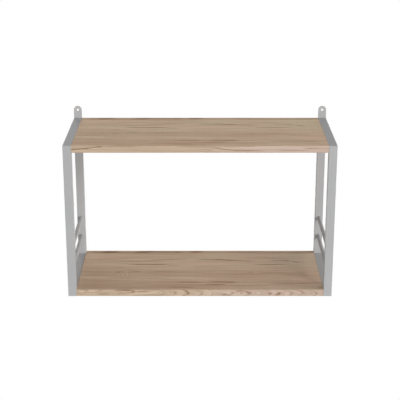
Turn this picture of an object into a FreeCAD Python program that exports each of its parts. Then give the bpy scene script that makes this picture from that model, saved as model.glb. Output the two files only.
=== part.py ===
import FreeCAD, Part
import math
import os

os.makedirs("parts", exist_ok=True)

# A bookshelf for the wall: two oak boards held between two closed frames of rectangular steel tube.
# Millimetres. X runs to the right, Y from the front to the wall, Z up.
# The origin is the middle of the base, at the height of the surface that the shelf can stand on.

# Side frames
frame_depth = 260.0
frame_height = 380.0
tube_width = 20.0
tube_depth = 16.0
tube_wall = 1.5
tube_edge_radius = 1.0

# Boards
board_length = 600.0
board_thickness = 17.0
board_edge_radius = 0.8
board_wall_gap = 2.0

# Round rods that keep the books from falling out of the open sides
rod_diameter = 10.0
lower_rod_height = 65.0
rod_spacing = 50.0

# Tabs for the wall screws
tab_thickness = 2.0
tab_hole_height = 20.5
tab_hole_diameter = 6.0

# Weld fillets at the rods' ends and at the tabs' feet
weld_leg = 1.2

# Button head bolts that clamp the boards between the frames
bolt_diameter = 6.0
bolt_length = 35.0
bolt_tip_chamfer = 0.8
bolt_hole_clearance = 0.6
bolt_edge_distance = 50.0
head_diameter = 10.5
head_height = 3.3
socket_across_flats = 4.0
socket_depth = 2.1

# Threaded inserts in the boards' ends
insert_diameter = 10.0
insert_length = 18.0
insert_recess = 0.5
insert_rib_height = 0.7
insert_rib_pitch = 3.0
insert_bore_clearance = 0.1
bolt_tip_room = 4.0

# A rib on an insert is a saw tooth: a flat crest, a slope and a root, as shares of its pitch
rib_crest_share = 0.30
rib_slope_share = 0.80

# Length by which a cutting tool runs past the face that it cuts
overrun = 1.0

# Two edges are parallel when their cross product is under this share of the product of their lengths
parallel_share = 1e-6

# Directions
RIGHT = FreeCAD.Vector(1, 0, 0)
BACK = FreeCAD.Vector(0, 1, 0)
UP = FreeCAD.Vector(0, 0, 1)

# Places worked out from the sizes
front = -frame_depth / 2
back = frame_depth / 2
board_half_length = board_length / 2
outer_half_width = board_half_length + tube_width
tube_middle = board_half_length + tube_width / 2
bolt_rows = [front + bolt_edge_distance, back - bolt_edge_distance]
bolt_drop = (tube_depth + board_thickness) / 4
rod_heights = {"lower": lower_rod_height, "upper": lower_rod_height + rod_spacing}
sides = {"left": -1, "right": 1}

# Each board's lowest point, and the height of the bolts that hold it.
# A bolt's height is half way between the middle of the tube and the middle of the board.
board_bases = {"top": frame_height - board_thickness, "bottom": 0.0}
bolt_heights = {"top": frame_height - bolt_drop, "bottom": bolt_drop}


def save(name, solids):
    """Write one node, which may be a group of separate solids."""
    shape = solids[0] if len(solids) == 1 else Part.makeCompound(solids)
    shape.exportStep("parts/" + name + ".step")


def edges_along(solid, direction):
    """Straight edges of a solid that run parallel to a direction."""
    found = []
    for edge in solid.Edges:
        run = edge.Vertexes[-1].Point - edge.Vertexes[0].Point
        if run.cross(direction).Length < run.Length * direction.Length * parallel_share:
            found.append(edge)
    return found


def mitred_prism(start, end, inward, near, far, half_width):
    """Bar between two depths under an outer line from start to end, its ends cut at 45 degrees."""
    along = (end - start).normalize()
    corners = [
        start + (inward + along) * near,
        start + (inward + along) * far,
        end + (inward - along) * far,
        end + (inward - along) * near,
    ]
    corners = [corner - RIGHT * half_width for corner in corners]
    outline = Part.makePolygon(corners + corners[:1])
    return Part.Face(outline).extrude(RIGHT * half_width * 2)


def mitred_tube(start, end, inward):
    """Rectangular tube with rounded long edges, mitred to its neighbours in the frame."""
    tube = mitred_prism(start, end, inward, 0, tube_depth, tube_width / 2)
    tube = tube.makeFillet(tube_edge_radius, edges_along(tube, end - start))
    hollow = mitred_prism(start, end, inward, tube_wall, tube_depth - tube_wall, tube_width / 2 - tube_wall)
    return tube.cut(hollow)


def cylinder_across(radius, from_x, to_x, y, z):
    """Round bar or hole along X between two places."""
    low = min(from_x, to_x)
    high = max(from_x, to_x)
    return Part.makeCylinder(radius, high - low, FreeCAD.Vector(low, y, z), RIGHT)


def frame_tubes(side):
    """Four tubes of one side frame, keyed by name, with the bolt holes in the two level ones."""
    x = side * tube_middle
    low_front = FreeCAD.Vector(x, front, 0)
    low_back = FreeCAD.Vector(x, back, 0)
    high_back = FreeCAD.Vector(x, back, frame_height)
    high_front = FreeCAD.Vector(x, front, frame_height)
    tubes = {
        "front_upright": mitred_tube(low_front, high_front, BACK),
        "rear_upright": mitred_tube(low_back, high_back, -BACK),
        "top_bar": mitred_tube(high_front, high_back, -UP),
        "bottom_bar": mitred_tube(low_front, low_back, UP),
    }
    hole_radius = (bolt_diameter + bolt_hole_clearance) / 2
    inner = side * (board_half_length - overrun)
    outer = side * (outer_half_width + overrun)
    for level, height in bolt_heights.items():
        for y in bolt_rows:
            hole = cylinder_across(hole_radius, inner, outer, y, height)
            tubes[level + "_bar"] = tubes[level + "_bar"].cut(hole)
    return tubes


def side_rod(side, height):
    """Round rod from the front upright to the rear one, with a weld fillet round each end."""
    radius = rod_diameter / 2
    start = front + tube_depth
    end = back - tube_depth
    profile = [
        (0, start),
        (radius + weld_leg, start),
        (radius, start + weld_leg),
        (radius, end - weld_leg),
        (radius + weld_leg, end),
        (0, end),
    ]
    x = side * tube_middle
    points = [FreeCAD.Vector(x + out, y, height) for out, y in profile]
    outline = Part.makePolygon(points + points[:1])
    return Part.Face(outline).revolve(FreeCAD.Vector(x, 0, height), BACK, 360)


def wall_tab(side):
    """Flat plate on top of the frame's rear corner, with a round end, a screw hole and a weld at its foot."""
    x = side * tube_middle
    radius = tube_width / 2
    y = back - tab_thickness
    hole_z = frame_height + tab_hole_height
    low_left = FreeCAD.Vector(x - radius, y, frame_height)
    high_left = FreeCAD.Vector(x - radius, y, hole_z)
    crown = FreeCAD.Vector(x, y, hole_z + radius)
    high_right = FreeCAD.Vector(x + radius, y, hole_z)
    low_right = FreeCAD.Vector(x + radius, y, frame_height)
    outline = Part.Wire([
        Part.LineSegment(low_left, high_left).toShape(),
        Part.Arc(high_left, crown, high_right).toShape(),
        Part.LineSegment(high_right, low_right).toShape(),
        Part.LineSegment(low_right, low_left).toShape(),
    ])
    plate = Part.Face(outline).extrude(BACK * tab_thickness)
    weld_half = radius - tube_edge_radius
    weld_corners = [
        FreeCAD.Vector(x - weld_half, y, frame_height),
        FreeCAD.Vector(x - weld_half, y - weld_leg, frame_height),
        FreeCAD.Vector(x - weld_half, y, frame_height + weld_leg),
    ]
    weld_outline = Part.makePolygon(weld_corners + weld_corners[:1])
    weld = Part.Face(weld_outline).extrude(RIGHT * weld_half * 2)
    hole_start = FreeCAD.Vector(x, y - overrun, hole_z)
    hole = Part.makeCylinder(tab_hole_diameter / 2, tab_thickness + overrun * 2, hole_start, BACK)
    return plate.fuse(weld).removeSplitter().cut(hole)


def board(base, height):
    """Oak board with softened long edges and two stepped holes in each end for the inserts and bolts."""
    depth = frame_depth - board_wall_gap
    solid = Part.makeBox(board_length, depth, board_thickness, FreeCAD.Vector(-board_half_length, front, base))
    solid = solid.makeFillet(board_edge_radius, edges_along(solid, RIGHT))
    pocket_depth = insert_recess + insert_length
    tip_depth = max(pocket_depth, bolt_length - tube_width) + bolt_tip_room
    tip_radius = (bolt_diameter + bolt_hole_clearance) / 2
    for side in sides.values():
        mouth = side * (board_half_length + overrun)
        for y in bolt_rows:
            pocket_end = side * (board_half_length - pocket_depth)
            tip_end = side * (board_half_length - tip_depth)
            solid = solid.cut(cylinder_across(insert_diameter / 2, mouth, pocket_end, y, height))
            solid = solid.cut(cylinder_across(tip_radius, mouth, tip_end, y, height))
    return solid


def lay_across(solid, side, x, y, z):
    """Turn a solid made along Z so that its top points away from the shelf's middle, and put it in place."""
    turned = solid.copy()
    turned.rotate(FreeCAD.Vector(0, 0, 0), BACK, side * 90)
    turned.translate(FreeCAD.Vector(x, y, z))
    return turned


def button_head_bolt():
    """Bolt along Z: its seat is at zero, the domed head above it and the shank below."""
    radius = bolt_diameter / 2
    head_radius = head_diameter / 2
    sphere_radius = (head_radius ** 2 + head_height ** 2) / (head_height * 2)
    half_angle = math.asin(head_radius / sphere_radius) / 2
    sphere_middle = head_height - sphere_radius
    rim = FreeCAD.Vector(head_radius, 0, 0)
    shoulder = FreeCAD.Vector(
        sphere_radius * math.sin(half_angle),
        0,
        sphere_middle + sphere_radius * math.cos(half_angle),
    )
    apex = FreeCAD.Vector(0, 0, head_height)
    tip = [
        FreeCAD.Vector(0, 0, -bolt_length),
        FreeCAD.Vector(radius - bolt_tip_chamfer, 0, -bolt_length),
        FreeCAD.Vector(radius, 0, bolt_tip_chamfer - bolt_length),
        FreeCAD.Vector(radius, 0, 0),
        rim,
    ]
    edges = [Part.LineSegment(a, b).toShape() for a, b in zip(tip, tip[1:])]
    edges.append(Part.Arc(rim, shoulder, apex).toShape())
    edges.append(Part.LineSegment(apex, tip[0]).toShape())
    solid = Part.Face(Part.Wire(edges)).revolve(FreeCAD.Vector(0, 0, 0), UP, 360)
    corner_radius = socket_across_flats / math.sqrt(3)
    floor = head_height - socket_depth
    corners = []
    for step in range(6):
        angle = math.radians(60 * step)
        corners.append(FreeCAD.Vector(corner_radius * math.cos(angle), corner_radius * math.sin(angle), floor))
    socket = Part.Face(Part.makePolygon(corners + corners[:1])).extrude(UP * (socket_depth + overrun))
    return solid.cut(socket)


def threaded_insert():
    """Sleeve along Z from zero down, with saw-tooth ribs outside that bite into the wood."""
    crest = insert_diameter / 2
    root = crest - insert_rib_height
    bore = (bolt_diameter + insert_bore_clearance * 2) / 2
    ribs = max(1, int(insert_length / insert_rib_pitch))
    pitch = insert_length / ribs
    profile = [(bore, 0)]
    for rib in range(ribs):
        top = -rib * pitch
        profile.append((crest, top))
        profile.append((crest, top - pitch * rib_crest_share))
        profile.append((root, top - pitch * rib_slope_share))
        profile.append((root, top - pitch))
    profile.append((bore, -insert_length))
    points = [FreeCAD.Vector(out, 0, z) for out, z in profile]
    outline = Part.makePolygon(points + points[:1])
    return Part.Face(outline).revolve(FreeCAD.Vector(0, 0, 0), UP, 360)


bolt = button_head_bolt()
insert = threaded_insert()

for side_name, side in sides.items():
    for part_name, tube in frame_tubes(side).items():
        save(side_name + "_" + part_name, [tube])
    for level, height in rod_heights.items():
        save(side_name + "_" + level + "_rod", [side_rod(side, height)])
    save(side_name + "_wall_tab", [wall_tab(side)])

for level, height in bolt_heights.items():
    save(level + "_board", [board(board_bases[level], height)])
    for side_name, side in sides.items():
        seat = side * outer_half_width
        mouth = side * (board_half_length - insert_recess)
        bolts = [lay_across(bolt, side, seat, y, height) for y in bolt_rows]
        inserts = [lay_across(insert, side, mouth, y, height) for y in bolt_rows]
        save(level + "_" + side_name + "_bolts", bolts)
        save(level + "_" + side_name + "_inserts", inserts)
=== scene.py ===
import math

import bpy
import numpy as np
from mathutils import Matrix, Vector


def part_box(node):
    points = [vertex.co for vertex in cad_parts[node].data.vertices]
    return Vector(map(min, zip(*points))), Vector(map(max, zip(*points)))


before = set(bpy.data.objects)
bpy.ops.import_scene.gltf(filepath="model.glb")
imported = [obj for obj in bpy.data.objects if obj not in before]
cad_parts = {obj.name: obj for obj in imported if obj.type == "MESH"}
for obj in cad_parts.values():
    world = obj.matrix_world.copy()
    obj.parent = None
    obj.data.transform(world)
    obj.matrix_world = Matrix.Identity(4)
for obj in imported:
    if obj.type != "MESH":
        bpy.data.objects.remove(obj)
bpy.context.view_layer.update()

# A bookshelf for the wall: two oak boards between two frames of powder coated steel tube.
# Metres, in the frame's axes. Lengths on the boards are in millimetres, and outside the tables times MM.
MM = 0.001

# Camera, at the photograph's viewing angle
CAMERA_LENS = 99.57
SENSOR_WIDTH = 36.0
CAMERA_PITCH = math.radians(18.882)
CAMERA_PLACE = (0.0, -2.6011, 1.0923)

# The shelf hangs this far above a round floor
HANGING_HEIGHT = 1.1
FLOOR_RADIUS = 1.2
FLOOR_FADE_RADIUS = 0.6
FLOOR_RINGS = 12
FLOOR_SPOKES = 96
FLOOR_COLOUR = (243, 243, 243)

# Least share of plain white that the floor shows the camera
FLOOR_WHITE_SHARE = 0.35

# Board sizes, from the frame
BOARD_LOW, BOARD_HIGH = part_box("bottom_board")
BOARD_THICKNESS = BOARD_HIGH.z - BOARD_LOW.z
BOARD_BACK = BOARD_HIGH.y

# Lamps stand round the shelf's middle at this distance. The sky is the even light from all round.
LAMP_DISTANCE = 14.0
LAMP_TARGET = Vector((0.0, 0.0, 0.2))
SKY_LIGHT = 0.12
WHITE = (1.0, 1.0, 1.0, 1.0)

# Powder coat: the screen colours between which it varies, the scales of its clouds, specks and orange peel
# per metre, and the depth of the peel
POWDER_DARK = (175, 175, 176)
POWDER_LIGHT = (179, 179, 179)
CLOUD_SCALE = 9.0
SPECK_SCALE = 1400.0
PEEL_SCALE = 700.0
PEEL_DEPTH = 0.03 * MM

# Bolts and inserts: the screen colour of each metal, the scale of its grain per metre, and the grain's depth
ZINC_GREY = (158, 160, 163)
ZINC_GRAIN_SCALE = 2200.0
ZINC_GRAIN_DEPTH = 0.01 * MM
BRASS_YELLOW = (204, 170, 98)
BRASS_GRAIN_SCALE = 1800.0


class Value:
    """One node's output, with which sums over a surface are written as Python expressions."""

    def __init__(self, finish, socket):
        self.finish = finish
        self.socket = socket

    def __add__(self, other):
        return self.finish.math("ADD", self, other)

    def __sub__(self, other):
        return self.finish.math("SUBTRACT", self, other)

    def __rsub__(self, other):
        return self.finish.math("SUBTRACT", other, self)

    def __mul__(self, other):
        return self.finish.math("MULTIPLY", self, other)

    __radd__ = __add__
    __rmul__ = __mul__


class Finish:
    """A material being built: it adds nodes, and it sets the sockets of its own shader."""

    def __init__(self, name):
        self.material = bpy.data.materials.new(name)
        self.material.use_nodes = True
        self.tree = self.material.node_tree
        self.shader = self.tree.nodes["Principled BSDF"]

    def node(self, kind, settings, sockets, output=0):
        """Add a node of that type, with its settings first and then its sockets' values or links."""
        added = self.tree.nodes.new(kind)
        for name, value in settings.items():
            if name == "stops":
                self.place_stops(added.color_ramp, value)
            else:
                setattr(added, name, value)
        for name, value in sockets.items():
            self.feed(added.inputs[name], value)
        return Value(self, added.outputs[output])

    def place_stops(self, ramp, stops):
        """Give a ramp its stops, each a place and a level from 0 to 1, with soft steps between them."""
        ramp.interpolation = "EASE"
        while len(ramp.elements) < len(stops):
            ramp.elements.new(1.0)
        for element, (place, level) in zip(ramp.elements, stops):
            element.position = place
            element.color = (1.0, 1.0, 1.0, level)

    def feed(self, socket, value):
        """Link a value to a socket, or set the socket to a plain number, colour or direction."""
        if isinstance(value, Value):
            self.tree.links.new(value.socket, socket)
        else:
            socket.default_value = value

    def set(self, name, value):
        """Feed one of the shader's own sockets."""
        self.feed(self.shader.inputs[name], value)

    def math(self, operation, first, second=0.0):
        return self.node("ShaderNodeMath", {"operation": operation}, {0: first, 1: second})

    def place(self):
        """The point on the piece, in metres in the frame's axes."""
        return self.node("ShaderNodeTexCoord", {}, {}, "Object")

    def facing(self):
        """The direction that the surface faces."""
        return self.node("ShaderNodeNewGeometry", {}, {}, "Normal")

    def split(self, vector):
        """The three parts of a vector."""
        parts = self.node("ShaderNodeSeparateXYZ", {}, {0: vector}).socket.node.outputs
        return [Value(self, part) for part in parts]

    def join(self, x, y, z):
        return self.node("ShaderNodeCombineXYZ", {}, {0: x, 1: y, 2: z})

    def noise(self, vector, scale, detail=2.0, roughness=0.5):
        """Smooth noise from 0 to 1, with its mean near a half."""
        sockets = {"Vector": vector, "Scale": scale, "Detail": detail, "Roughness": roughness}
        return self.node("ShaderNodeTexNoise", {}, sockets)

    def smooth(self, value, low, high, top=1.0, steps="SMOOTHSTEP"):
        """0 where the value is at low, top where it is at high, with a soft step between them."""
        sockets = {"Value": value, "From Min": low, "From Max": high, "To Max": top}
        return self.node("ShaderNodeMapRange", {"interpolation_type": steps}, sockets)

    def level(self, value, low, high):
        """0 where the value is at low or beyond, 1 at high or beyond, in a straight line between."""
        return self.smooth(value, low, high, 1.0, "LINEAR")

    def mix(self, share, first, second):
        """The first colour, going over to the second one by that share."""
        settings = {"data_type": "RGBA"}
        return self.node("ShaderNodeMix", settings, {0: share, 6: first, 7: second}, 2)

    def ramp(self, value, stops):
        """A level that follows the stops of a ramp, which holds it as its alpha."""
        return self.node("ShaderNodeValToRGB", {"stops": stops}, {0: value}, "Alpha")

    def tint(self, first, second):
        """The first colour times the second, part by part."""
        return self.node("ShaderNodeVectorMath", {"operation": "MULTIPLY"}, {0: first, 1: second})

    def bump(self, height, depth):
        """A relief whose height goes from 0 to that depth in metres."""
        return self.node("ShaderNodeBump", {}, {"Height": height, "Distance": depth})


def colour(red, green, blue):
    """A colour given as 0 to 255 on a screen, as the linear colour that a shader takes."""
    shares = np.array([red, green, blue]) / 255
    linear = np.where(shares <= 0.04045, shares / 12.92, ((shares + 0.055) / 1.055) ** 2.4)
    return (*linear.tolist(), 1.0)


def paint():
    """Light grey powder coat: an even grey with a fine orange peel."""
    finish = Finish("grey_powder_coat")
    place = finish.place()
    cloud = finish.noise(place, CLOUD_SCALE, 2.0)
    speck = finish.noise(place, SPECK_SCALE, 1.0)
    tone = finish.smooth(cloud * 0.7 + speck * 0.3, 0.3, 0.7)
    finish.set("Base Color", finish.mix(tone, colour(*POWDER_DARK), colour(*POWDER_LIGHT)))
    finish.set("Roughness", 0.46 + cloud * 0.1)
    finish.set("Specular IOR Level", 0.05)
    finish.set("Normal", finish.bump(finish.noise(place, PEEL_SCALE, 1.5), PEEL_DEPTH))
    return finish.material


# Part of a spot's size that has its whole depth
SPOT_CORE_SHARE = 0.1

# Dark marks in the grain that both boards share: the middle along and across the board, the half length, the
# half width, how far the mark climbs towards the wall for each step to the right, and its share of the deep
# brown. All places and lengths are in millimetres.
GRAIN_MARKS = (
    (-134.0, 32.0, 60.0, 3.6, 0.0, 0.62),
    (-64.0, 25.0, 18.0, 3.2, -0.04, 0.36),
    (-82.0, 67.0, 60.0, 3.0, 0.01, 0.24),
    (-220.0, 73.0, 46.0, 3.0, 0.0, 0.18),
    (-148.0, 53.0, 60.0, 2.8, 0.0, 0.20),
    (24.0, 66.0, 34.0, 3.4, 0.0, 0.34),
    (64.0, 62.5, 28.0, 3.6, -0.14, 0.48),
    (108.0, 56.5, 36.0, 3.4, -0.10, 0.34),
    (205.0, 58.5, 28.0, 3.4, -0.03, 0.34),
    (242.0, 49.0, 28.0, 3.0, -0.36, 0.30),
    (266.0, 40.0, 20.0, 2.6, -0.20, 0.20),
    (180.0, 31.0, 58.0, 3.2, 0.0, 0.36),
    (248.0, 26.0, 22.0, 2.8, 0.0, 0.36),
    (22.0, 18.0, 54.0, 2.6, 0.0, 0.16),
    (-205.0, 12.0, 20.0, 2.8, 0.0, 0.22),
    (180.0, -24.0, 48.0, 3.0, 0.0, 0.20),
    (120.0, -22.0, 8.0, 3.4, 0.0, 0.34),
    (-203.0, -18.0, 10.0, 4.4, 0.0, 0.42),
    (-163.0, -18.0, 24.0, 4.2, 0.0, 0.40),
    (-116.0, -17.0, 38.0, 2.8, 0.0, 0.20),
    (58.0, -81.0, 40.0, 3.4, -0.07, 0.50),
    (-28.0, -84.0, 38.0, 3.0, 0.0, 0.32),
    (33.0, -98.0, 30.0, 3.0, 0.0, 0.30),
    (222.0, -90.5, 66.0, 3.0, -0.02, 0.30),
    (-165.0, -93.0, 66.0, 2.8, 0.0, 0.16),
    (-42.0, -115.0, 34.0, 3.8, 0.0, 0.26),
    (-228.0, 122.0, 26.0, 6.0, 0.0, 0.36),
    (-240.0, 113.0, 24.0, 4.0, 0.01, 0.30),
    (-144.0, 123.0, 28.0, 6.0, 0.0, 0.38),
    (-152.0, 114.0, 24.0, 4.5, -0.01, 0.34),
    (-56.0, 119.0, 10.0, 7.0, 0.0, 0.40),
    (-12.0, 123.0, 22.0, 6.0, 0.0, 0.38),
    (-16.0, 114.0, 20.0, 4.5, 0.01, 0.34),
    (235.0, 119.0, 62.0, 12.0, 0.0, 0.08),
    (-170.0, 119.0, 160.0, 12.0, 0.0, 0.12),
)

# Broad soft patches: the middle, the half length and the half width in millimetres, then how much darker the
# patch is and how much redder, where a negative number is lighter or greener. Most are tones of the wood; one
# is a painted shadow and one is painted light.
GRAIN_AND_PAINTED_LIGHT_PATCHES = (
    (-190.0, -100.0, 220.0, 48.0, 0.20, 0.50),
    (-245.0, -22.0, 90.0, 26.0, 0.24, 0.05),
    (-240.0, 84.0, 90.0, 50.0, 0.0, 0.50),
    (-250.0, -127.0, 70.0, 8.0, -0.60, 0.0),
    (60.0, -27.0, 240.0, 30.0, 0.20, 0.20),
    (-20.0, -98.0, 100.0, 40.0, 0.24, 0.45),
    (-257.0, -57.0, 40.0, 6.0, -0.50, -0.20),
    (-20.0, -63.0, 70.0, 14.0, -0.24, 0.30),
    (262.0, 70.0, 80.0, 90.0, 0.0, -0.90),
    # Painted shadow: this darker patch stands in for the shade that the right rods cast on the bottom board,
    # and it darkens both boards
    (237.0, -35.0, 40.0, 20.0, 0.24, -0.30),
    (120.0, 90.0, 190.0, 44.0, -0.06, -0.30),
    (-110.0, 40.0, 150.0, 60.0, -0.06, 0.0),
    (115.0, 25.0, 230.0, 55.0, -0.20, 0.0),
    (-90.0, -72.0, 140.0, 52.0, -0.18, 0.0),
    (275.0, -60.0, 50.0, 50.0, -0.05, 0.50),
    # Painted light: this lighter patch lifts both boards where the right rods' shadow falls on the bottom
    # board
    (235.0, 85.0, 70.0, 55.0, -0.14, 0.0),
)

# Band of darker wood along the wall edge, which sets in over the soft share of its width, at a ragged line
WALL_BAND_WIDTH = 21.0 * MM
WALL_BAND_SHARE = 0.26
WALL_BAND_SOFT_SHARE = 0.25
WALL_BAND_RAGGED_WIDTH = 16.0 * MM

# A small patch of curly grain: its middle, its half length and half width, the length of a wave, how far the
# waves slant, and the whole range by which their own noise shifts them, in radians
CURL_MIDDLE = (-197.0, -28.0)
CURL_HALF_SIZE = (38.0, 15.0)
CURL_PITCH = 9.5 * MM
CURL_SLANT = 0.5
CURL_STIR_ANGLE = 9.0

# Front edge of the top board: marks as above, but with their height above the board's underside in place of
# their place across the board. A negative depth is a pale mark.
CALM_EDGE_MARKS = (
    (-280.0, 9.5, 24.0, 1.7, 0.075, 1.0),
    (-246.0, 13.6, 20.0, 1.7, 0.14, 1.0),
    (-280.0, 6.4, 18.0, 1.6, 0.04, -0.35),
    (-247.0, 11.0, 12.0, 1.5, 0.10, -0.35),
    (60.0, 8.3, 40.0, 2.0, -0.12, 0.34),
    (112.0, 5.6, 44.0, 2.0, 0.0, 0.30),
    (215.0, 6.2, 44.0, 2.0, 0.0, 0.36),
    (264.0, 11.2, 18.0, 1.5, 0.05, 0.40),
    (95.0, 16.2, 44.0, 2.4, 0.0, 0.40),
    (-10.0, 14.0, 60.0, 1.8, 0.0, 0.22),
    (-190.0, 15.6, 60.0, 2.0, 0.0, 0.25),
    (72.0, 11.2, 26.0, 2.0, -0.06, -0.45),
    (140.0, 12.0, 56.0, 3.0, 0.0, -0.50),
    (42.0, 6.0, 12.0, 1.8, 0.0, -0.35),
    (222.0, 10.4, 34.0, 2.2, -0.02, -0.35),
    (270.0, 13.6, 16.0, 1.6, 0.05, -0.35),
    (180.0, 9.0, 150.0, 14.0, 0.0, -0.14),
)

# Front edge of the bottom board: arches by the place of their tip along the board, how far their legs trail
# behind the tip, the half width of the line and its depth.
EDGE_ARCHES = (
    (-86.0, 22.0, 2.6, 0.40),
    (-60.0, 26.0, 2.8, 0.42),
    (-45.0, 20.0, 2.2, 0.30),
    (-29.0, 15.0, 5.5, 0.75),
    (5.0, 24.0, 3.2, 0.65),
    (31.0, 10.0, 2.6, 0.50),
    (80.0, 26.0, 4.0, 0.70),
    (100.0, 22.0, 2.4, 0.35),
    (121.0, 20.0, 5.0, 0.55),
    (153.0, 16.0, 2.6, 0.40),
    (170.0, 10.0, 2.8, 0.55),
    (193.0, 18.0, 4.6, 0.65),
    (222.0, 15.0, 3.6, 0.50),
    (250.0, 17.0, 3.0, 0.70),
    (282.0, 12.0, 2.4, 0.50),
)

# Average height of an arch's tip above the board's underside, and the whole range in which the tips wander
# up and down, as a share of half the board's thickness
ARCH_TIP_HEIGHT = 7.4 * MM
ARCH_WANDER_SHARE = 1.3

# Along that edge upright ticks come in between these places, where the level lines weaken. Like the arches,
# the ticks trail at the board's upper and lower sides, by about this much.
TICKS_START = -110.0 * MM
TICKS_FULL = -70.0 * MM
TICKS_TRAIL = 16.0 * MM

# An arch's line goes from this many half widths inside its tip to this many outside it. Along that way its
# level is a half where the wood is plain, less where it is pale and more where it is dark.
ARCH_INSIDE = 4.0
ARCH_OUTSIDE = 1.5
ARCH_STOPS = ((0.0, 0.5), (0.31, 0.25), (0.53, 0.5), (0.73, 1.0), (0.93, 0.5))

# Marks of the bottom board's front edge beside its arches, laid out as those of the top board's edge
ARCHED_EDGE_MARKS = (
    (-277.0, 15.8, 9.0, 3.4, 0.0, 0.55),
    (-240.0, 15.2, 6.0, 3.0, 0.0, 0.50),
    (-183.0, 15.8, 26.0, 4.0, 0.0, 0.80),
    (-163.0, 11.0, 6.0, 3.2, 0.0, 0.70),
    (-183.0, 8.6, 24.0, 1.9, 0.03, 0.60),
    (-140.0, 11.8, 18.0, 1.9, 0.0, 0.60),
    (-236.0, 5.4, 18.0, 2.0, 0.0, 0.40),
    (-252.0, 9.2, 60.0, 1.6, 0.0, 0.25),
    (-120.0, 2.8, 50.0, 2.4, 0.0, 0.30),
    (-287.0, 12.0, 9.0, 3.4, 0.0, -0.50),
    (-262.0, 13.6, 11.0, 3.0, 0.0, -0.40),
    (-225.0, 14.0, 20.0, 2.8, 0.0, -0.20),
    (-145.0, 6.4, 38.0, 2.6, 0.05, -0.50),
    (-112.0, 10.6, 18.0, 2.8, 0.25, -0.40),
    (-183.0, 11.8, 10.0, 1.9, 0.0, -0.40),
    (-262.0, 6.2, 20.0, 2.6, 0.0, -0.20),
    (60.0, 13.0, 34.0, 3.0, 0.0, -0.40),
    (18.0, 9.0, 14.0, 8.0, 0.0, -0.45),
    (62.0, 3.4, 11.0, 3.2, 0.0, 0.55),
    (95.0, 15.2, 7.0, 2.8, 0.0, 0.50),
    (110.0, 10.6, 15.0, 2.2, -0.42, 0.50),
    (89.0, 5.0, 16.0, 3.4, 0.0, -0.35),
    (144.0, 7.2, 6.0, 2.6, 0.0, -0.40),
    (171.0, 5.8, 3.6, 5.0, 0.0, 0.35),
    (181.0, 13.0, 15.0, 2.6, -0.24, -0.45),
    (190.0, 4.8, 6.0, 4.2, 0.0, 0.40),
    (211.0, 7.2, 8.0, 3.0, 0.0, -0.35),
)

# The top board's edge lines drop by this much between these places
SWEEP_START = 5.0 * MM
SWEEP_END = 125.0 * MM
SWEEP_DROP = 11.0 * MM

# Layers of the grain, each by its scales along and across the board, per metre
WANDER = (5.0, 9.0)
RIPPLES = (28.0, 30.0)
BANDS = (2.0, 52.0)
DASHES = (7.0, 125.0)
STREAKS = (5.0, 300.0)
THREADS = (16.0, 1100.0)
PORES = (60.0, 2600.0)
BLUSHES = (9.0, 36.0)
STRANDS = (10.0, 420.0)
RELIEF = (20.0, 1400.0)
CURL_STIR = (70.0, 120.0)

# How far each layer shifts the grain, from one side to the other: its wandering, its ripples and its streaks
# across the board, and the ragged ends of the marks along it
WANDER_WIDTH = 12.0 * MM
RIPPLE_WIDTH = 1.6 * MM
STREAK_WIDTH = 3.0 * MM
RAGGED_LENGTH = 45.0 * MM

# How much lighter the wood gets for each metre towards the wall
LIGHTER_TOWARDS_WALL = 0.9

# Depth of the open grain
RELIEF_DEPTH = 0.12 * MM

# Layers of the front edges' figure, each by its scales along and up the edge, per metre, and the place where
# it cuts through the noise
CALM_DRIFT = (9.0, 30.0, 0.0)
CALM_LINES = (5.0, 420.0, 7.3)
CALM_THREADS = (22.0, 1500.0, 2.1)
ARCH_WANDER = (26.0, 12.0, 5.7)
ARCH_DRIFT = (60.0, 160.0, 4.0)
ARCH_PATCHES = (45.0, 110.0, 8.1)
ARCH_STREAKS = (14.0, 900.0, 6.4)
TICKS = (210.0, 40.0, 5.2)
LEVEL_LINES = (8.0, 330.0, 3.0)

# How far each layer shifts the edges' figure, from one side to the other: the drift of the lines, and the
# ragged ends of the marks. The marks take only a share of the drift.
CALM_DRIFT_WIDTH = 4.0 * MM
CALM_RAGGED_LENGTH = 30.0 * MM
ARCH_DRIFT_WIDTH = 9.0 * MM
ARCH_RAGGED_LENGTH = 28.0 * MM
MARK_DRIFT_SHARE = 0.3

# Level of an edge where its figure is plain, before the soft step from cream to brown
EDGE_PLAIN_LEVEL = 0.34

# Flat faces of each board: the strength of its curly patch, and the screen colours of its least and of its
# most red wood. The bottom board's colours are darker, which paints in part of the shade that the top board
# casts on it.
TOP_FACE = {"curliness": 0.25, "olive": (213, 191, 162), "pink": (218, 186, 158)}
BOTTOM_FACE = {"curliness": 0.60, "olive": (204, 183, 158), "pink": (209, 179, 154)}

# How bright the palest wood is beside those colours, in red, green and blue, and how much less the darkest
# wood is
PALEST_SHARES = (1.19, 1.24, 1.28)
DARKENING_SHARES = (0.38, 0.48, 0.56)

# Screen colours of the marks and the open pores, and the most that each may cover of the wood's own colour
MARK_BROWN = (122, 81, 45)
MARK_LIMIT = 0.85
PORE_BROWN = (128, 98, 72)
PORE_SHARE = 0.4

# Screen colours of the front edges: their cream at the left and at the right, which changes between these
# places, and the brown of their lines
EDGE_CREAM_LEFT = (205, 183, 160)
EDGE_CREAM_RIGHT = (205, 183, 167)
CREAM_START = -60.0 * MM
CREAM_END = 140.0 * MM
EDGE_BROWN = (140, 113, 86)

# End grain: its screen colours, and the scales of its rings along, across and up the board, per metre
END_PALE = (196, 166, 134)
END_DARK = (150, 118, 90)
RINGS = (6.0, 190.0, 620.0)

# An edge or an end begins to take its own figure where its normal leans along its axis by the first of these
# shares, and has it wholly at the second
LEAN_START_SHARE = 0.6
LEAN_END_SHARE = 0.8


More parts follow.
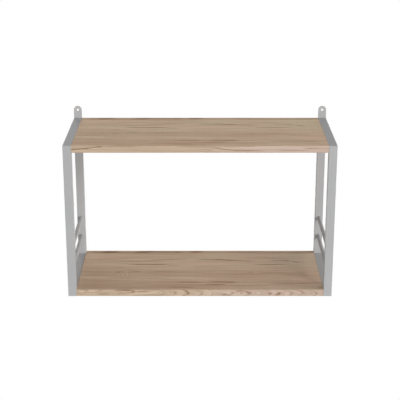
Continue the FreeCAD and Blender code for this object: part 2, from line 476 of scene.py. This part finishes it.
def spot(finish, plane, middle, half_size, slope=0.0, depth=1.0):
    """That depth in the middle of a long soft spot, and 0 from its half length and half width on.

    The outline is a superellipse of the fourth order, turned by the slope: the squares of the two places as
    shares of the half sizes, then the length of both.
    """
    centre = (middle[0] * MM, middle[1] * MM, 0.0)
    if slope:
        sockets = {"Vector": plane, "Center": centre, "Angle": -math.atan(slope)}
        plane = finish.node("ShaderNodeVectorRotate", {"rotation_type": "Z_AXIS"}, sockets)
    gain = (1.0 / (half_size[0] * MM), 1.0 / (half_size[1] * MM), 0.0)
    start = (-centre[0] * gain[0], -centre[1] * gain[1], 0.0)
    sockets = {0: plane, 1: gain, 2: start}
    shares = finish.node("ShaderNodeVectorMath", {"operation": "MULTIPLY_ADD"}, sockets)
    squares = finish.tint(shares, shares)
    radius = finish.node("ShaderNodeVectorMath", {"operation": "LENGTH"}, {0: squares}, "Value")
    return finish.smooth(radius, 1.0, SPOT_CORE_SHARE, depth)


def sum_of_spots(finish, x, y, marks):
    """The spots of a table of marks, each with its depth."""
    plane = finish.join(x, y, 0.0)
    total = 0.0
    for middle_x, middle_y, half_length, half_width, slope, depth in marks:
        total = spot(finish, plane, (middle_x, middle_y), (half_length, half_width), slope, depth) + total
    return total


def fibres(finish, x, y, z, layer, detail, roughness=0.55):
    """Noise drawn out along the board by the two scales of a layer."""
    along, across = layer
    return finish.noise(finish.join(x * along, y * across, z * across), 1.0, detail, roughness)


def edge_fibres(finish, x, z, layer, detail, roughness=0.5):
    """Noise over a front edge, with the two scales of a layer and its cut through the noise."""
    along, up, cut = layer
    return finish.noise(finish.join(x * along, z * up, cut), 1.0, detail, roughness)


def face_figure(finish, x, y, z, curliness):
    """Grain of a board's flat faces, with a painted shadow and painted light among its patches: darkness,
    redness, the share of dark marks and that of open pores.

    The curly patch is a sine along the grain, shifted by two of the layers and by a noise of its own. The
    curliness is how much it darkens and lightens the wood.
    """
    wander = (fibres(finish, x, y, z, WANDER, 1.0, 0.5) - 0.5) * WANDER_WIDTH
    ripple = (fibres(finish, x, y, z, RIPPLES, 1.0, 0.5) - 0.5) * RIPPLE_WIDTH
    bent = y + wander + ripple
    bands = fibres(finish, x, bent, z, BANDS, 2.0) - 0.5
    dashes = fibres(finish, x, bent, z, DASHES, 2.0) - 0.5
    streaks = fibres(finish, x, bent, z, STREAKS, 2.0) - 0.5
    threads = fibres(finish, x, bent, z, THREADS, 2.0) - 0.5
    pores = finish.smooth(fibres(finish, x, bent, z, PORES, 1.0) - streaks * 0.25, 0.60, 0.72)
    dark = bands * -1.0 + dashes * -1.6 + streaks * -0.9 + threads * -0.5
    red = (fibres(finish, x, bent, z, BLUSHES, 1.0) - 0.5) * 2.4
    strands = fibres(finish, x, bent, z, STRANDS, 2.0) - 0.5
    own = y + ripple + streaks * STREAK_WIDTH
    ragged = x + (streaks + strands) * RAGGED_LENGTH
    broken = finish.smooth(strands + dashes * 0.7 + streaks * 0.5, 0.16, -0.16)
    band_start = BOARD_BACK - WALL_BAND_WIDTH
    band_end = band_start + WALL_BAND_SOFT_SHARE * WALL_BAND_WIDTH
    band = finish.smooth(own + dashes * WALL_BAND_RAGGED_WIDTH, band_start, band_end, WALL_BAND_SHARE)
    marks = (sum_of_spots(finish, ragged, own, GRAIN_MARKS) * 1.3 + band) * (broken * 1.1 + 0.45)
    red = red + band * 2.0
    plane = finish.join(x, own, 0.0)
    # Patches of tone in the grain, one of them a painted shadow and one painted light
    for middle_x, middle_y, half_length, half_width, depth, redder in GRAIN_AND_PAINTED_LIGHT_PATCHES:
        patch = spot(finish, plane, (middle_x, middle_y), (half_length, half_width))
        if depth:
            dark = dark + patch * depth
        if redder:
            red = red + patch * redder
    curl = spot(finish, plane, CURL_MIDDLE, CURL_HALF_SIZE)
    stir = (fibres(finish, x, y, z, CURL_STIR, 1.0, 0.5) - 0.5) * CURL_STIR_ANGLE
    turn = (x + y * CURL_SLANT) * (2 * math.pi / CURL_PITCH) + bands * 16.0 + dashes * 12.0 + stir
    dark = dark + finish.math("SINE", turn) * curl * curliness
    return dark - y * LIGHTER_TOWARDS_WALL, red, marks, pores


def oak(name, base, edge_figure, curliness, olive, pink):
    """Oiled oak whose grain runs along the board. base is the height of the board's underside.

    The flat faces go from the olive to the pink colour with the redness and from lighter to darker with the
    grain, then towards a deep brown in the marks and the pores. The front and rear edges go from a cream,
    which is less yellow at the right, to a brown with the tone of the edge's own figure. The ends show the
    rings of the wood.
    """
    finish = Finish(name)
    x, y, height = finish.split(finish.place())
    z = height - base
    dark, red, marks, pores = face_figure(finish, x, y, z, curliness)
    hue = finish.mix(finish.smooth(red, -1.5, 1.5), colour(*olive), colour(*pink))
    tone = finish.smooth(dark, -1.0, 1.0)
    shades = [palest - tone * loss for palest, loss in zip(PALEST_SHARES, DARKENING_SHARES)]
    face = finish.tint(hue, finish.join(*shades))
    face = finish.mix(finish.math("MINIMUM", marks, MARK_LIMIT), face, colour(*MARK_BROWN))
    face = finish.mix(pores * PORE_SHARE, face, colour(*PORE_BROWN))
    edge_tone = edge_figure(finish, x, z)
    rightness = finish.smooth(x, CREAM_START, CREAM_END)
    cream = finish.mix(rightness, colour(*EDGE_CREAM_LEFT), colour(*EDGE_CREAM_RIGHT))
    edge = finish.mix(edge_tone, cream, colour(*EDGE_BROWN))
    lean = finish.math("ABSOLUTE", finish.split(finish.facing())[1])
    on_edge = finish.smooth(lean, LEAN_START_SHARE, LEAN_END_SHARE)
    wood = finish.mix(on_edge, face, edge)
    rings = finish.noise(finish.join(x * RINGS[0], y * RINGS[1], z * RINGS[2]), 1.0, 2.0)
    end = finish.mix(rings, colour(*END_PALE), colour(*END_DARK))
    lean = finish.math("ABSOLUTE", finish.split(finish.facing())[0])
    on_end = finish.smooth(lean, LEAN_START_SHARE, LEAN_END_SHARE)
    finish.set("Base Color", finish.mix(on_end, wood, end))
    finish.set("Roughness", 0.56 + tone * 0.12)
    finish.set("Specular IOR Level", 0.08)
    relief = fibres(finish, x, y, z, RELIEF, 2.0) - pores * 0.8
    finish.set("Normal", finish.bump(relief, RELIEF_DEPTH))
    return finish.material


def calm_edge(finish, x, z):
    """Figure of the top board's front edge: fine level lines that sweep down towards the right."""
    sweep = finish.smooth(x, SWEEP_START, SWEEP_END) * SWEEP_DROP
    drift = (edge_fibres(finish, x, z, CALM_DRIFT, 1.0) - 0.5) * CALM_DRIFT_WIDTH
    level = z + sweep + drift
    lines = edge_fibres(finish, x, level, CALM_LINES, 2.0, 0.6) - 0.5
    threads = edge_fibres(finish, x, level, CALM_THREADS, 1.0) - 0.5
    ragged = x + (lines + threads) * CALM_RAGGED_LENGTH
    marks = sum_of_spots(finish, ragged, z + drift * MARK_DRIFT_SHARE, CALM_EDGE_MARKS)
    marks = marks * (threads * 1.6 + 0.95)
    return finish.smooth(lines * 0.7 + threads * 0.3 + marks * 0.8 + EDGE_PLAIN_LEVEL, 0.0, 1.0)


def arched_edge(finish, x, z):
    """Figure of the bottom board's front edge: nested arches whose tips point to the right.

    An arch is where x plus its trail times the square of the height from its tip, as a share of half the
    board's thickness, comes to the place of its tip. The tips wander up and down, and the wood just inside
    an arch is paler.
    """
    half = BOARD_THICKNESS / 2
    wobble = (edge_fibres(finish, x, z, ARCH_WANDER, 1.0) - 0.5) * ARCH_WANDER_SHARE
    height = (z - ARCH_TIP_HEIGHT) * (1 / half) + wobble
    curve = height * height
    drift = (edge_fibres(finish, x, z, ARCH_DRIFT, 2.0) - 0.5) * ARCH_DRIFT_WIDTH
    place = x + drift
    total = 0.0
    for tip, trail, half_width, depth in EDGE_ARCHES:
        start = (tip - ARCH_INSIDE * half_width) * MM
        end = (tip + ARCH_OUTSIDE * half_width) * MM
        across = finish.level(curve * (trail * MM) + place, start, end)
        total = (finish.ramp(across, ARCH_STOPS) - 0.5) * (2.0 * depth) + total
    patchy = finish.smooth(edge_fibres(finish, x, z, ARCH_PATCHES, 1.0), 0.32, 0.62)
    streaks = edge_fibres(finish, x, z, ARCH_STREAKS, 2.0) - 0.5
    ragged = x + streaks * ARCH_RAGGED_LENGTH
    marks = sum_of_spots(finish, ragged, z + drift * MARK_DRIFT_SHARE, ARCHED_EDGE_MARKS)
    total = total * (patchy * 0.75 + 0.4) + marks * (streaks * 1.6 + 1.0)
    right = finish.smooth(x, TICKS_START, TICKS_FULL)
    phase = x + curve * TICKS_TRAIL + drift
    ticks = (edge_fibres(finish, phase, z, TICKS, 1.0) - 0.5) * right
    lines = edge_fibres(finish, x, z + drift, LEVEL_LINES, 2.0) - 0.5
    level = lines * (1.0 - right * 0.7)
    return finish.smooth(total * 0.62 + ticks * 0.5 + level * 0.6 + EDGE_PLAIN_LEVEL, 0.0, 1.0)


def zinc():
    """Zinc plated steel of the bolts."""
    finish = Finish("zinc_plated_steel")
    place = finish.place()
    grain = finish.noise(place, ZINC_GRAIN_SCALE, 2.0)
    finish.set("Base Color", colour(*ZINC_GREY))
    finish.set("Metallic", 1.0)
    finish.set("Roughness", 0.32 + grain * 0.16)
    finish.set("Normal", finish.bump(grain, ZINC_GRAIN_DEPTH))
    return finish.material


def brass():
    """Brass of the threaded inserts."""
    finish = Finish("turned_brass")
    grain = finish.noise(finish.place(), BRASS_GRAIN_SCALE, 2.0)
    finish.set("Base Color", colour(*BRASS_YELLOW))
    finish.set("Metallic", 1.0)
    finish.set("Roughness", 0.25 + grain * 0.2)
    return finish.material


def dress(nodes):
    """Give every node of the frame the finish of its own kind of piece."""
    coat = paint()
    steel = zinc()
    yellow = brass()
    finishes = {
        "top_board": oak("oak_of_top_board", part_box("top_board")[0].z, calm_edge, **TOP_FACE),
        "bottom_board": oak("oak_of_bottom_board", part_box("bottom_board")[0].z, arched_edge, **BOTTOM_FACE),
    }
    for name, piece in nodes.items():
        if name.endswith("_bolts"):
            finish = steel
        elif name.endswith("_inserts"):
            finish = yellow
        else:
            finish = finishes.get(name, coat)
        piece.data.materials.clear()
        piece.data.materials.append(finish)


def floor():
    """A round floor far below the shelf: rings of points at even radii, with every ring a circle."""
    radii = np.linspace(0.0, FLOOR_RADIUS, FLOOR_RINGS + 1)[1:]
    angles = np.arange(FLOOR_SPOKES) * 2 * math.pi / FLOOR_SPOKES
    x = np.outer(radii, np.cos(angles))
    y = np.outer(radii, np.sin(angles))
    z = np.full_like(x, -HANGING_HEIGHT)
    points = np.stack([x, y, z], -1).reshape(-1, 3)
    points = np.vstack([points, [0.0, 0.0, -HANGING_HEIGHT]])
    spoke = np.arange(FLOOR_SPOKES)
    after = (spoke + 1) % FLOOR_SPOKES
    ring = np.arange(FLOOR_RINGS - 1)[:, None] * FLOOR_SPOKES
    inner = ring + spoke
    next_inner = ring + after
    quads = np.stack([inner, inner + FLOOR_SPOKES, next_inner + FLOOR_SPOKES, next_inner], -1)
    middle = np.full(FLOOR_SPOKES, len(points) - 1)
    fan = np.stack([middle, spoke, after], -1)
    mesh = bpy.data.meshes.new("floor")
    mesh.from_pydata(points.tolist(), [], quads.reshape(-1, 4).tolist() + fan.tolist())
    mesh.materials.append(floor_finish())
    piece = bpy.data.objects.new("floor", mesh)
    bpy.context.scene.collection.objects.link(piece)


def floor_finish():
    """Pale floor that keeps the shadow and fades to white at its edge. It is clear from below."""
    finish = Finish("pale_floor")
    x, y, z = finish.split(finish.place())
    radius = finish.math("SQRT", x * x + y * y)
    fade = finish.smooth(radius, FLOOR_FADE_RADIUS, FLOOR_RADIUS)
    seen = seen_rays(finish)
    finish.set("Base Color", colour(*FLOOR_COLOUR))
    finish.set("Roughness", 0.9)
    finish.set("Specular IOR Level", 0.0)
    white = finish.node("ShaderNodeEmission", {}, {"Color": WHITE, "Strength": 1.0})
    surface = Value(finish, finish.shader.outputs[0])
    share = finish.math("MAXIMUM", fade, FLOOR_WHITE_SHARE) * seen
    faded = finish.node("ShaderNodeMixShader", {}, {0: share, 1: surface, 2: white})
    clear = finish.node("ShaderNodeBsdfTransparent", {}, {})
    under = finish.node("ShaderNodeNewGeometry", {}, {}, "Backfacing")
    whole = finish.node("ShaderNodeMixShader", {}, {0: under, 1: faded, 2: clear})
    output = finish.tree.nodes["Material Output"]
    finish.tree.links.new(whole.socket, output.inputs["Surface"])
    return finish.material


def seen_rays(finish):
    """1 for rays of the camera and for those that mirror or refract it, 0 for the light's own."""
    path = "ShaderNodeLightPath"
    camera = finish.node(path, {}, {}, "Is Camera Ray")
    glossy = finish.node(path, {}, {}, "Is Glossy Ray")
    clear = finish.node(path, {}, {}, "Is Transmission Ray")
    return finish.math("MINIMUM", camera + glossy + clear, 1.0)


class Sky(Finish):
    """The world's own node tree, built with the same calls."""

    def __init__(self, name):
        self.world = bpy.data.worlds.new(name)
        self.world.use_nodes = True
        self.tree = self.world.node_tree
        self.shader = self.tree.nodes["Background"]


def surroundings():
    """White all round for the camera, and a soft even light for the shelf."""
    sky = Sky("studio")
    sky.set("Color", WHITE)
    sky.set("Strength", SKY_LIGHT + (1.0 - SKY_LIGHT) * seen_rays(sky))
    bpy.context.scene.world = sky.world


def lamp(name, azimuth, elevation, size, power):
    """A square soft lamp that points at the shelf. Azimuth 0 is in front and 90 at the right, in degrees."""
    around = math.radians(azimuth)
    up = math.radians(elevation)
    out = Vector((math.sin(around) * math.cos(up), -math.cos(around) * math.cos(up), math.sin(up)))
    light = bpy.data.lights.new(name, "AREA")
    light.shape = "SQUARE"
    light.size = size
    light.energy = power
    piece = bpy.data.objects.new(name, light)
    piece.location = LAMP_TARGET + out * LAMP_DISTANCE
    piece.rotation_euler = (-out).to_track_quat("-Z", "Y").to_euler()
    bpy.context.scene.collection.objects.link(piece)
    piece.visible_camera = False


def lights():
    """Soft light mostly from the right and the front, weaker from the left, and some from behind."""
    lamp("front", 0, 0, 2.0, 280.0)
    lamp("front right", 15, 8, 2.0, 290.0)
    lamp("key", 30, 8, 2.0, 380.0)
    lamp("high key", 30, 26, 4.0, 261.0)
    lamp("high side key", 45, 26, 4.0, 225.0)
    lamp("side", 75, 8, 2.0, 340.0)
    lamp("high side", 75, 24, 6.0, 285.0)
    lamp("high side rear", 110, 32, 7.0, 350.0)
    lamp("front left", -30, 5, 4.2, 200.0)
    lamp("left fill", -60, 5, 4.2, 239.0)
    lamp("left", -90, 12, 4.2, 62.0)
    lamp("upper left", -90, 35, 4.2, 189.0)
    lamp("behind right", 135, 5, 4.2, 83.0)
    lamp("rim", -165, 20, 2.8, 161.0)
    lamp("back", 180, -32, 7.0, 540.0)


def camera():
    """A camera in front of the shelf's middle that looks down at it."""
    lens = bpy.data.cameras.new("camera")
    lens.lens = CAMERA_LENS
    lens.sensor_width = SENSOR_WIDTH
    piece = bpy.data.objects.new("camera", lens)
    piece.location = CAMERA_PLACE
    piece.rotation_euler = (math.pi / 2 - CAMERA_PITCH, 0.0, 0.0)
    bpy.context.scene.collection.objects.link(piece)
    bpy.context.scene.camera = piece


camera()
surroundings()
lights()
floor()
dress(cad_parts)

bpy.context.scene.view_settings.view_transform = "Standard"
